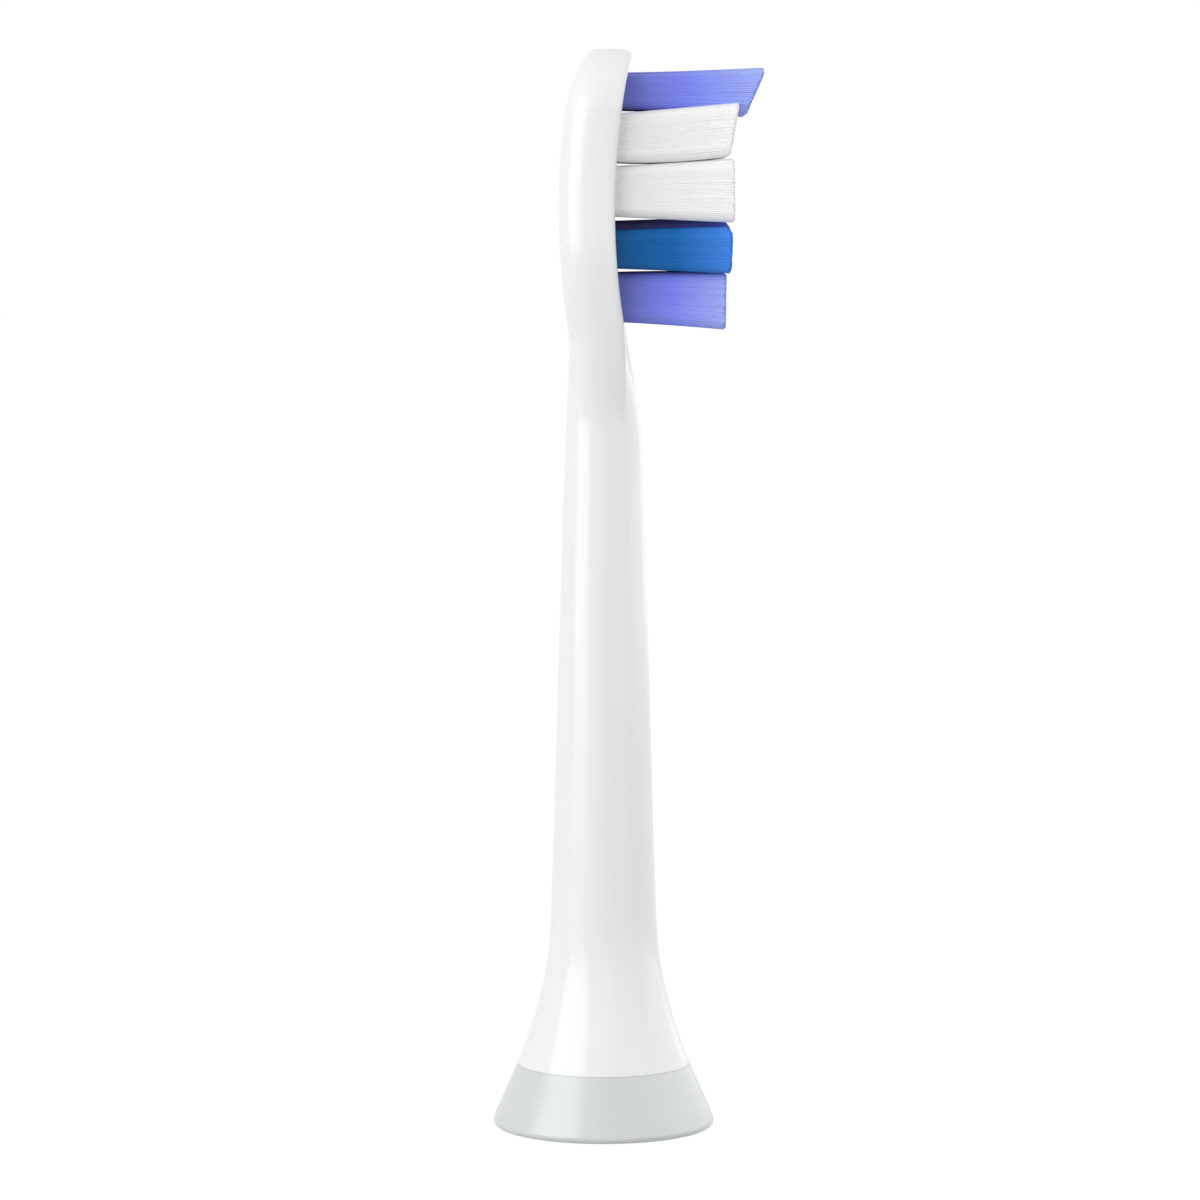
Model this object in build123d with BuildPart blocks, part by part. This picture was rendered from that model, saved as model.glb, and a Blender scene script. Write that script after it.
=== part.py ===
from build123d import *
from collections import namedtuple
from math import atan2, cos, degrees, radians, sin, sqrt
import os

# Click-on head of a sonic toothbrush, in millimetres.
# The axis of the drive shaft is Z and the foot of the base ring stands on Z = 0.
# The bristles point to +X. Left is -Y, as seen from the bristle side.

# Overall sizes
total_length = 85.2
base_radius = 8.75
seam_radius = 6.82
seam_height = 5.3

# Flare between the seam and the neck
flare_top_height = 19.5
flare_inset = 0.06

# Neck: half sizes of its four-sided section at the top of the flare and at the foot of the head
neck_foot_half_depth = 4.06
neck_foot_half_width = 4.2
neck_top_half_depth = 2.95

# Section of the neck at its foot: how far each face bows out between its edges
neck_back_bow = 1.6
neck_front_bow = 1.8
neck_side_bow = 0.6

# Head plate
plate_thickness = 4.54
plate_front_offset = 0.9
plate_curve_drop = 0.875
plate_front_curve_radius = 53.0
plate_back_curve_radius = 60.0
plate_back_bevel = 1.3
plate_front_bevel = 0.3
plate_tip_margin = 1.85
plate_heel_margin = 0.75
plate_rim_margin = 1.075
plate_tip_flat = 1.0
plate_tail_half_width = 3.3
plate_tail_length = 1.5
plate_shoulder_rise = 5.5
shoulder_curve_radius = 16.0

# Shoulder: the neck's section opens towards this one, which lies inside the plate
front_slope_length = 7.2
shoulder_overlap = 1.5
shoulder_half_width = 4.1
shoulder_back_depth = 2.82
shoulder_front_depth = 3.4
shoulder_back_bow = 0.7
shoulder_front_bow = 0.6
shoulder_side_bow = 0.3

# Bristle bundles
tuft_width = 2.05
tuft_column_gap = 0.35
tuft_row_gap = 0.32
tuft_corner_bevel = 0.5
tuft_hole_depth = 2.4
tuft_hole_clearance = 0.03
tuft_tip_growth = 0.1
tip_row_height = 2.95
tip_row_side_height = 2.3
upper_row_height = 3.75
middle_row_height = 3.9
lower_row_inner_height = 3.7
lower_row_outer_height = 3.0
heel_row_height = 4.0
tip_row_reach = 11.8
tip_row_slant = 24.0
white_row_reach = 10.15
lower_row_reach = 9.95
heel_row_reach = 9.55
tip_row_lift = 0.35
heel_row_drop = 0.35

# Skirt and base ring
skirt_hollow_height = 12.4
skirt_foot_wall = 1.67
skirt_top_wall = 0.78
ring_wall = 1.0
ring_clearance = 0.05
ring_floor = 0.9
ring_lip_height = 0.5
ring_lip_inset = 1.1

# Shaft socket and its spring
shaft_bore_radius = 2.05
socket_wall = 0.85
socket_bottom_height = 7.0
socket_top_height = 25.0
socket_flange_width = 0.6
socket_flange_thickness = 0.9
socket_clearance = 0.03
socket_key_width = 1.2
socket_key_depth = 0.45
bore_lead_in = 0.3
spring_width = 1.9
spring_thickness = 0.25
spring_slot_clearance = 0.05
spring_length = 9.0
spring_top_gap = 2.0
spring_crest_share = 0.3
spring_wall_gap = 0.2
spring_bore_gap = 0.03

# Identification tag
tag_board_thickness = 0.3
tag_board_edge_gap = 0.15
tag_coil_width = 0.75
tag_coil_thickness = 0.18
tag_coil_gap = 2.8
tag_chip_length = 1.2
tag_chip_width = 0.8
tag_chip_thickness = 0.28
tag_clearance = 0.12

# Cuts run past the faces that they open by this much
cut_overrun = 1.0

Tuft = namedtuple("Tuft", "name y z height reach slant lift")
Section = namedtuple("Section", "back front half_width back_bow front_bow side_bow")


def between(start, end, share):
    """Return the value that lies the given share of the way from start to end."""
    return start + (end - start) * share


def sagitta(radius, reach):
    """Return how far an arc has bent away at this reach from its crown."""
    return radius - sqrt(radius**2 - reach**2)


# Rows of bundles, stacked from the tip of the head down to its heel
def bundle_row(row, top, columns, heights, reach, slant=0.0, lift=0.0):
    """Return one row's bundles, which all stand on the row's lower edge."""
    pitch = tuft_width + tuft_column_gap
    bottom = top - max(heights)
    return [
        Tuft(
            f"tuft_{row}_{column}",
            (place - (len(columns) - 1) / 2) * pitch,
            bottom + height / 2,
            height,
            reach,
            slant,
            lift,
        )
        for place, (column, height) in enumerate(zip(columns, heights))
    ]


three_columns = ("left", "centre", "right")
four_columns = ("left_outer", "left_inner", "right_inner", "right_outer")
tip_row_top = total_length - plate_tip_margin
upper_row_top = tip_row_top - tip_row_height - tuft_row_gap
middle_row_top = upper_row_top - upper_row_height - tuft_row_gap
lower_row_top = middle_row_top - middle_row_height - tuft_row_gap
heel_row_top = lower_row_top - lower_row_inner_height - tuft_row_gap
heel_row_bottom = heel_row_top - heel_row_height

tip_heights = (tip_row_side_height, tip_row_height, tip_row_side_height)
lower_heights = (
    lower_row_outer_height,
    lower_row_inner_height,
    lower_row_inner_height,
    lower_row_outer_height,
)
tufts = [
    *bundle_row("tip", tip_row_top, three_columns, tip_heights, tip_row_reach, tip_row_slant, tip_row_lift),
    *bundle_row("upper", upper_row_top, four_columns, (upper_row_height,) * 4, white_row_reach),
    *bundle_row("mid", middle_row_top, four_columns, (middle_row_height,) * 4, white_row_reach),
    *bundle_row("lower", lower_row_top, four_columns, lower_heights, lower_row_reach),
    *bundle_row("heel", heel_row_top, three_columns, (heel_row_height,) * 3, heel_row_reach, 0.0, -heel_row_drop),
]

# Places that follow from the rows
plate_bottom_height = heel_row_bottom - plate_heel_margin
plate_tail_height = plate_bottom_height - plate_tail_length
neck_top_height = plate_bottom_height - front_slope_length
plate_shoulder_height = plate_bottom_height + plate_shoulder_rise
plate_centre_height = (tip_row_top + heel_row_bottom) / 2 - plate_curve_drop
plate_half_width = 2 * tuft_width + 1.5 * tuft_column_gap + plate_rim_margin
plate_arch_radius = plate_half_width - plate_tip_flat / 2
plate_crown = plate_front_offset - plate_thickness
hole_floor = plate_front_offset - tuft_hole_depth


def plate_front(height):
    """Return X of the head plate's hollow front at this height."""
    return plate_front_offset + sagitta(plate_front_curve_radius, height - plate_centre_height)


def plate_back(height):
    """Return X of the head plate's bowed back at this height."""
    return plate_crown + sagitta(plate_back_curve_radius, height - plate_centre_height)


def facing(x, y, z):
    """Return a plane that faces +X, with its own X along Y and its own Y along Z."""
    return Plane(origin=(x, y, z), x_dir=(0, 1, 0), z_dir=(1, 0, 0))


def four_sided(section):
    """Return a sketch of a four-sided section with bowed faces."""
    back_edge = section.back_bow - section.back
    front_edge = section.front - section.front_bow
    side_edge = section.half_width - section.side_bow
    middle = (back_edge + front_edge) / 2
    with BuildSketch() as outline:
        with BuildLine():
            ThreePointArc((back_edge, side_edge), (-section.back, 0), (back_edge, -side_edge))
            ThreePointArc((back_edge, -side_edge), (middle, -section.half_width), (front_edge, -side_edge))
            ThreePointArc((front_edge, -side_edge), (section.front, 0), (front_edge, side_edge))
            ThreePointArc((front_edge, side_edge), (middle, section.half_width), (back_edge, side_edge))
        make_face()
    return outline.sketch


# Neck, which starts inside the flare, tapers evenly and opens into the head plate
neck_taper = (neck_foot_half_depth - neck_top_half_depth) / (neck_top_height - flare_top_height)
neck_start_height = between(seam_height, flare_top_height, 0.3)
neck_growth = neck_taper * (flare_top_height - neck_start_height)
neck_start = Section(
    neck_foot_half_depth + neck_growth,
    neck_foot_half_depth + neck_growth,
    neck_foot_half_width + neck_growth,
    neck_back_bow,
    neck_front_bow,
    neck_side_bow,
)
shoulder = Section(
    shoulder_back_depth,
    shoulder_front_depth,
    shoulder_half_width,
    shoulder_back_bow,
    shoulder_front_bow,
    shoulder_side_bow,
)
with BuildPart() as neck:
    with BuildSketch(Plane.XY.offset(neck_start_height)):
        add(four_sided(neck_start))
    extrude(amount=neck_top_height - neck_start_height, taper=degrees(atan2(neck_taper, 1)))
    neck_end = neck.faces().sort_by(Axis.Z)[-1]
    with BuildSketch(Plane.XY.offset(plate_bottom_height + shoulder_overlap)) as shoulder_sketch:
        add(four_sided(shoulder))
    loft(sections=[neck_end, shoulder_sketch.sketch], ruled=True)

# Front of the head: hollow along the plate, then straight down to the front of the neck
top_height = total_length + cut_overrun
front_top = (plate_front(top_height), top_height)
front_middle = (plate_front_offset, plate_centre_height)
front_bottom = (plate_front(plate_bottom_height), plate_bottom_height)
front_tail = (
    between(front_bottom[0], neck_top_half_depth, plate_tail_length / front_slope_length),
    plate_tail_height,
)
back_tail = (plate_back(plate_tail_height), plate_tail_height)
back_top = (plate_back(top_height), top_height)
with BuildPart() as front_space:
    with BuildSketch(Plane.XZ):
        with BuildLine():
            ThreePointArc(front_top, front_middle, front_bottom)
            Polyline(
                front_bottom,
                (neck_top_half_depth, neck_top_height),
                (base_radius, neck_top_height),
                (base_radius, top_height),
                front_top,
            )
        make_face()
    extrude(amount=base_radius, both=True)

# Head plate, from its side profile and its outline as seen from the bristle side
with BuildPart() as plate:
    with BuildSketch(Plane.XZ):
        with BuildLine():
            ThreePointArc(front_top, front_middle, front_bottom)
            Polyline(front_bottom, front_tail, back_tail)
            ThreePointArc(back_tail, (plate_crown, plate_centre_height), back_top)
            Line(back_top, front_top)
        make_face()
    extrude(amount=base_radius, both=True)
    with BuildSketch(Plane.YZ) as outline:
        with BuildLine():
            Polyline(
                (-plate_half_width, total_length),
                (-plate_half_width, plate_shoulder_height),
                (-plate_tail_half_width, plate_tail_height),
                (plate_tail_half_width, plate_tail_height),
                (plate_half_width, plate_shoulder_height),
                (plate_half_width, total_length),
                close=True,
            )
        make_face()
        fillet(outline.vertices().group_by(Axis.Y)[-1], plate_arch_radius)
        fillet(outline.vertices().group_by(Axis.Y)[1], shoulder_curve_radius)
    extrude(amount=base_radius, both=True, mode=Mode.INTERSECT)
    chamfer(plate.edges().filter_by(Axis.Y).group_by(Axis.Z)[-1].sort_by(Axis.X)[0], plate_back_bevel)
    chamfer(plate.edges().filter_by(Axis.Y).group_by(Axis.Z)[-1].sort_by(Axis.X)[-1], plate_front_bevel)

# Flare, as an arc that leaves the neck upright and widens to the seam
flare_top_radius = neck_foot_half_depth - flare_inset
flare_drop = flare_top_height - seam_height
flare_spread = seam_radius - flare_top_radius
flare_curve_radius = (flare_drop**2 + flare_spread**2) / (2 * flare_spread)


def flare_radius(height):
    """Return the radius of the flare at this height."""
    return flare_top_radius + sagitta(flare_curve_radius, flare_top_height - height)


# Skirt inside the base ring: its foot leaves room for the tag on the ring's floor
ring_slope = (base_radius - seam_radius) / (seam_height - ring_lip_height)
tag_top_height = ring_floor + tag_board_thickness
skirt_foot_height = tag_top_height + tag_chip_thickness + tag_clearance
skirt_top_radius = seam_radius - ring_wall - ring_clearance
skirt_foot_radius = skirt_top_radius + ring_slope * (seam_height - skirt_foot_height)
skirt_mouth_radius = skirt_foot_radius - skirt_foot_wall
skirt_hollow_top_radius = flare_radius(skirt_hollow_height) - skirt_top_wall
socket_radius = shaft_bore_radius + socket_wall

# One moulded body: head plate, neck and hollow skirt
with BuildPart() as brush_body:
    add(neck.part)
    add(front_space.part, mode=Mode.SUBTRACT)
    add(plate.part)

    # Round flare down to the seam
    with BuildSketch(Plane.XZ):
        with BuildLine():
            Polyline(
                (flare_top_radius, flare_top_height),
                (0, flare_top_height),
                (0, seam_height),
                (seam_radius, seam_height),
            )
            ThreePointArc(
                (seam_radius, seam_height),
                (flare_radius(flare_top_height - flare_drop / 2), flare_top_height - flare_drop / 2),
                (flare_top_radius, flare_top_height),
            )
        make_face()
    revolve(axis=Axis.Z)

    # Skirt inside the base ring
    with BuildSketch(Plane.XZ):
        with BuildLine():
            Polyline(
                (0, seam_height + cut_overrun),
                (skirt_top_radius, seam_height + cut_overrun),
                (skirt_top_radius, seam_height),
                (skirt_foot_radius, skirt_foot_height),
                (0, skirt_foot_height),
                close=True,
            )
        make_face()
    revolve(axis=Axis.Z)

    # Hollow of the skirt, open at the foot
    with BuildSketch(Plane.XZ):
        with BuildLine():
            Polyline(
                (0, skirt_foot_height - cut_overrun),
                (skirt_mouth_radius, skirt_foot_height - cut_overrun),
                (skirt_mouth_radius, skirt_foot_height),
                (skirt_hollow_top_radius, skirt_hollow_height),
                (0, skirt_hollow_height),
                close=True,
            )
        make_face()
    revolve(axis=Axis.Z, mode=Mode.SUBTRACT)

    # Pocket for the shaft socket, with a keyway on the back
    pocket_height = socket_top_height + socket_clearance - skirt_hollow_height
    with BuildSketch(Plane.XY.offset(skirt_hollow_height)):
        Circle(socket_radius + socket_clearance)
        with Locations((-socket_radius, 0)):
            Rectangle(
                2 * (socket_key_depth + socket_clearance),
                socket_key_width + 2 * socket_clearance,
            )
    extrude(amount=pocket_height, mode=Mode.SUBTRACT)

    # Blind holes that hold the bundles
    with BuildSketch(facing(hole_floor, 0, 0)) as hole_floors:
        for tuft in tufts:
            with Locations((tuft.y, tuft.z)):
                Rectangle(tuft_width + 2 * tuft_hole_clearance, tuft.height + 2 * tuft_hole_clearance)
        chamfer(hole_floors.vertices(), tuft_corner_bevel)
    extrude(amount=white_row_reach, mode=Mode.SUBTRACT)

brush_body.part.label = "brush_body"

# Ring on the foot of the skirt
tag_pocket_radius = skirt_foot_radius + ring_clearance
with BuildPart() as base_ring:
    with BuildSketch(Plane.XZ):
        with BuildLine():
            Polyline(
                (skirt_mouth_radius, 0),
                (base_radius - ring_lip_inset, 0),
                (base_radius, ring_lip_height),
                (seam_radius, seam_height),
                (skirt_top_radius + ring_clearance, seam_height),
                (tag_pocket_radius, skirt_foot_height),
                (tag_pocket_radius, ring_floor),
                (skirt_mouth_radius, ring_floor),
                close=True,
            )
        make_face()
    revolve(axis=Axis.Z)

base_ring.part.label = "base_ring"

# Socket that takes the drive shaft
spring_top_height = socket_top_height - spring_top_gap
spring_bottom_height = spring_top_height - spring_length
spring_slot_width = spring_width + 2 * spring_slot_clearance
with BuildPart() as shaft_socket:
    with BuildSketch(Plane.XY.offset(socket_bottom_height)):
        Circle(socket_radius)
    extrude(amount=socket_top_height - socket_bottom_height)
    with BuildSketch(Plane.XY.offset(skirt_hollow_height)):
        Circle(socket_radius + socket_flange_width)
    extrude(amount=-socket_flange_thickness)
    with BuildSketch(Plane.XY.offset(skirt_hollow_height)):
        with Locations((-socket_radius, 0)):
            Rectangle(2 * socket_key_depth, socket_key_width)
    extrude(amount=socket_top_height - skirt_hollow_height)
    with BuildSketch(Plane.XY.offset(socket_bottom_height)):
        Circle(shaft_bore_radius)
    extrude(amount=socket_top_height - socket_bottom_height - socket_wall, mode=Mode.SUBTRACT)
    with BuildSketch(Plane.XY.offset(spring_bottom_height - spring_slot_clearance)):
        with Locations((socket_radius, 0)):
            Rectangle(2 * socket_radius, spring_slot_width)
    extrude(
        amount=spring_top_height - spring_bottom_height + 2 * spring_slot_clearance,
        mode=Mode.SUBTRACT,
    )
    mouth = shaft_socket.faces().sort_by(Axis.Z)[0].edges().sort_by(SortBy.RADIUS)[0]
    chamfer(mouth, bore_lead_in)

shaft_socket.part.label = "shaft_socket"

# Spring leaf, bowed so that its crest lies at the wall of the bore
spring_outer = socket_radius - spring_wall_gap
spring_crest = shaft_bore_radius + spring_bore_gap
crest_low = spring_bottom_height + spring_length * spring_crest_share
crest_high = spring_top_height - spring_length * spring_crest_share
with BuildPart() as retaining_spring:
    with BuildSketch(Plane.XZ):
        with BuildLine():
            Polyline(
                (spring_outer - spring_thickness, spring_bottom_height),
                (spring_crest, crest_low),
                (spring_crest, crest_high),
                (spring_outer - spring_thickness, spring_top_height),
                (spring_outer, spring_top_height),
                (spring_crest + spring_thickness, crest_high),
                (spring_crest + spring_thickness, crest_low),
                (spring_outer, spring_bottom_height),
                close=True,
            )
        make_face()
    extrude(amount=spring_width / 2, both=True)

retaining_spring.part.label = "retaining_spring"

# Identification tag on the ring's floor, under the foot of the skirt
board_inner = skirt_mouth_radius + tag_board_edge_gap
board_outer = tag_pocket_radius - tag_board_edge_gap
tag_radius = (board_inner + board_outer) / 2
with BuildPart() as tag_board:
    with BuildSketch(Plane.XY.offset(ring_floor)):
        Circle(board_outer)
        Circle(board_inner, mode=Mode.SUBTRACT)
    extrude(amount=tag_board_thickness)

tag_board.part.label = "tag_board"

with BuildPart() as tag_coil:
    with BuildSketch(Plane.XY.offset(tag_top_height)):
        Circle(tag_radius + tag_coil_width / 2)
        Circle(tag_radius - tag_coil_width / 2, mode=Mode.SUBTRACT)
        with Locations((tag_radius, 0)):
            Rectangle(2 * tag_coil_width, tag_coil_gap, mode=Mode.SUBTRACT)
    extrude(amount=tag_coil_thickness)

tag_coil.part.label = "tag_coil"

with BuildPart() as tag_chip:
    with BuildSketch(Plane.XY.offset(tag_top_height)):
        with Locations((tag_radius, 0)):
            Rectangle(tag_chip_width, tag_chip_length)
    extrude(amount=tag_chip_thickness)

tag_chip.part.label = "tag_chip"


def bundle(tuft):
    """Return one bundle: straight in its hole, then growing to its trimmed tip."""
    upper_edge = tuft.z + tuft.height / 2
    lower_edge = tuft.z - tuft.height / 2
    mouth = max(plate_front(upper_edge), plate_front(lower_edge))
    lean = radians(tuft.slant)
    tip = Plane(
        origin=(tuft.reach, tuft.y, tuft.z + tuft.lift),
        x_dir=(0, 1, 0),
        z_dir=(cos(lean), 0, -sin(lean)),
    )
    with BuildPart() as filaments:
        with BuildSketch(facing(hole_floor, tuft.y, tuft.z)) as root:
            Rectangle(tuft_width, tuft.height)
            chamfer(root.vertices(), tuft_corner_bevel)
        extrude(amount=mouth - hole_floor)
        with BuildSketch(facing(mouth, tuft.y, tuft.z)) as mouth_outline:
            Rectangle(tuft_width, tuft.height)
            chamfer(mouth_outline.vertices(), tuft_corner_bevel)
        with BuildSketch(tip) as trimmed_end:
            Rectangle(tuft_width + 2 * tuft_tip_growth, (tuft.height + 2 * tuft_tip_growth) / cos(lean))
            chamfer(trimmed_end.vertices(), tuft_corner_bevel)
        loft(ruled=True)
    filaments.part.label = tuft.name
    return filaments.part


os.makedirs("parts", exist_ok=True)
rigid_pieces = (brush_body, base_ring, shaft_socket, retaining_spring, tag_board, tag_coil, tag_chip)
for piece in [rigid.part for rigid in rigid_pieces] + [bundle(tuft) for tuft in tufts]:
    export_step(piece, f"parts/{piece.label}.step")
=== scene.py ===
"""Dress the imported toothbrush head: moulded body, foot ring, inner pieces and bristle bundles."""

from __future__ import annotations

import logging
import math
import random
from dataclasses import dataclass
from enum import Enum

import bpy
import numpy as np
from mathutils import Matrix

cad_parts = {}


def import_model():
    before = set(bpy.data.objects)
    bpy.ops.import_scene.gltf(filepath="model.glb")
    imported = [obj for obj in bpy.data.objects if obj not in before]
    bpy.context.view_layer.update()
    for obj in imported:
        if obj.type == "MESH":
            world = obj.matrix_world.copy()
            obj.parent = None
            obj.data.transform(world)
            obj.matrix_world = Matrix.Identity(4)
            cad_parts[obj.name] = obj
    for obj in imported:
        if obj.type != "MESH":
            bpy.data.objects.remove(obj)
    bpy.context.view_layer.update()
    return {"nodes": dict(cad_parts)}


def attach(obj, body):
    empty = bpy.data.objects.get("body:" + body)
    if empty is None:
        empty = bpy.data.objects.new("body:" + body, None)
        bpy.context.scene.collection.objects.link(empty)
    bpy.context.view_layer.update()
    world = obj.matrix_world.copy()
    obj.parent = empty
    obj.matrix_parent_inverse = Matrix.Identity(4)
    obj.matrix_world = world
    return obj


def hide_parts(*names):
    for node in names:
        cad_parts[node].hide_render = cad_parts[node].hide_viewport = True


LOG = logging.getLogger("toothbrush_head")

MM = 0.001
MERGE_DISTANCE = 1e-7
BODY = "root"
STRAND = "strand"

Number = float | np.ndarray
Point2 = tuple[float, float]
Colour = tuple[float, float, float]
Pattern = tuple[np.ndarray, list[tuple[int, ...]]]


def mix(start: Number, end: Number, share: Number) -> Number:
    """Return the value that lies the given share of the way from start to end."""
    return start + (end - start) * share


def bulge(share: Number) -> Number:
    """Return the height of a parabola that is 0 at both ends and 1 in the middle."""
    return 4.0 * share * (1.0 - share)


def eased(low: float, high: float, value: float) -> float:
    """Return a smooth rise from 0 at low to 1 at high."""
    share = min(max((value - low) / (high - low), 0.0), 1.0)
    return share * share * (3.0 - 2.0 * share)


def soft_max(first: float, second: float, width: float) -> float:
    """Return the larger value, rounded over where the two come within the width."""
    share = min(max(0.5 + 0.5 * (first - second) / width, 0.0), 1.0)
    return mix(second, first, share) + width * share * (1.0 - share)


def soft_min(first: float, second: float, width: float) -> float:
    """Return the smaller value, rounded over where the two come within the width."""
    return -soft_max(-first, -second, width)


def sagitta(radius: float, reach: float) -> float:
    """Return how far an arc has bent away at this reach from its crown."""
    return radius - math.sqrt(radius * radius - reach * reach)


def spaced(low: float, high: float, count: int) -> list[float]:
    """Return count values above low, evenly spaced up to high."""
    return [mix(low, high, (step + 1) / count) for step in range(count)]


def report(piece: bpy.types.Object) -> None:
    """Log a piece's name and number of faces."""
    LOG.info("%s: %d faces", piece.name, len(piece.data.polygons))


class Mode(Enum):
    """Modes that the mesh operators work in."""

    EDIT = "EDIT"
    OBJECT = "OBJECT"


def set_mode(mode: Mode) -> None:
    """Switch the active object to a mode."""
    bpy.ops.object.mode_set(mode=mode.value)


def new_outline(name: str, points: int) -> bpy.types.Object:
    """Add a closed loop of points as a named object, with nothing else selected.

    Args:
        name: Name of the new piece.
        points: Number of points in the loop.

    Returns:
        The new object, active and in object mode.
    """
    bpy.ops.object.select_all(action="DESELECT")
    bpy.ops.mesh.primitive_circle_add(vertices=points, radius=1.0, fill_type="NOTHING")
    loop = bpy.context.active_object
    loop.name = name
    loop.data.name = name
    return loop


def extrude_rows(count: int) -> None:
    """Extrude the selected loop upwards, one unit for each row."""
    for _ in range(count):
        bpy.ops.mesh.extrude_edges_move(TRANSFORM_OT_translate={"value": (0.0, 0.0, 1.0)})


def finish_shell(piece: bpy.types.Object, smooth_angle: float) -> None:
    """Merge doubles, turn the faces outwards and smooth all but the sharp edges.

    Args:
        piece: The closed shell.
        smooth_angle: Largest angle in degrees between two faces that blend.
    """
    set_mode(Mode.EDIT)
    bpy.ops.mesh.select_all(action="SELECT")
    bpy.ops.mesh.remove_doubles(threshold=MERGE_DISTANCE)
    bpy.ops.mesh.normals_make_consistent(inside=False)
    set_mode(Mode.OBJECT)
    bpy.ops.object.shade_smooth_by_angle(angle=math.radians(smooth_angle))


def spun(name: str, profile: list[Point2], steps: int, smooth_angle: float) -> bpy.types.Object:
    """Spin a closed profile about the axis of the neck.

    Args:
        name: Name of the new piece.
        profile: Radius and height of each corner, in millimetres.
        steps: Number of faces round the piece.
        smooth_angle: Largest angle in degrees between two faces that blend.

    Returns:
        The turned piece.
    """
    piece = new_outline(name, len(profile))
    for corner, (radius, height) in zip(piece.data.vertices, profile):
        corner.co = (radius * MM, 0.0, height * MM)
    set_mode(Mode.EDIT)
    bpy.ops.mesh.select_all(action="SELECT")
    bpy.ops.mesh.spin(steps=steps, angle=math.tau, center=(0.0, 0.0, 0.0), axis=(0.0, 0.0, 1.0))
    set_mode(Mode.OBJECT)
    finish_shell(piece, smooth_angle)
    return piece


def corner_arc(centre: Point2, radius: float, start: float, end: float, count: int) -> list[Point2]:
    """Return points of a small arc in a profile.

    Args:
        centre: Radius and height of the arc's centre.
        radius: Radius of the arc.
        start: First angle in degrees, 0 pointing away from the axis.
        end: Last angle in degrees.
        count: Number of points.

    Returns:
        The points, from start to end.
    """
    angles = [math.radians(mix(start, end, step / (count - 1))) for step in range(count)]
    return [(centre[0] + radius * math.cos(a), centre[1] + radius * math.sin(a)) for a in angles]


def add_node(
    tree: bpy.types.NodeTree, kind: str, values: dict[str, float] | None = None
) -> bpy.types.Node:
    """Add a shader node and set the values of its inputs.

    Args:
        tree: The node tree to add to.
        kind: Type of the node, without the word that all shader nodes start with.
        values: Value of each input that doesn't keep its own.

    Returns:
        The node.
    """
    node = tree.nodes.new(f"ShaderNode{kind}")
    for label, value in (values or {}).items():
        node.inputs[label].default_value = value
    return node


def add_colour_mix(tree: bpy.types.NodeTree) -> bpy.types.Node:
    """Add a node that mixes two colours.

    Args:
        tree: The node tree to add to.

    Returns:
        The node.
    """
    blend = add_node(tree, "Mix")
    blend.data_type = "RGBA"
    return blend


def connect(
    tree: bpy.types.NodeTree, *links: tuple[bpy.types.NodeSocket, bpy.types.NodeSocket]
) -> None:
    """Link the first socket of each pair to the second."""
    for source, target in links:
        tree.links.new(source, target)


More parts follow.
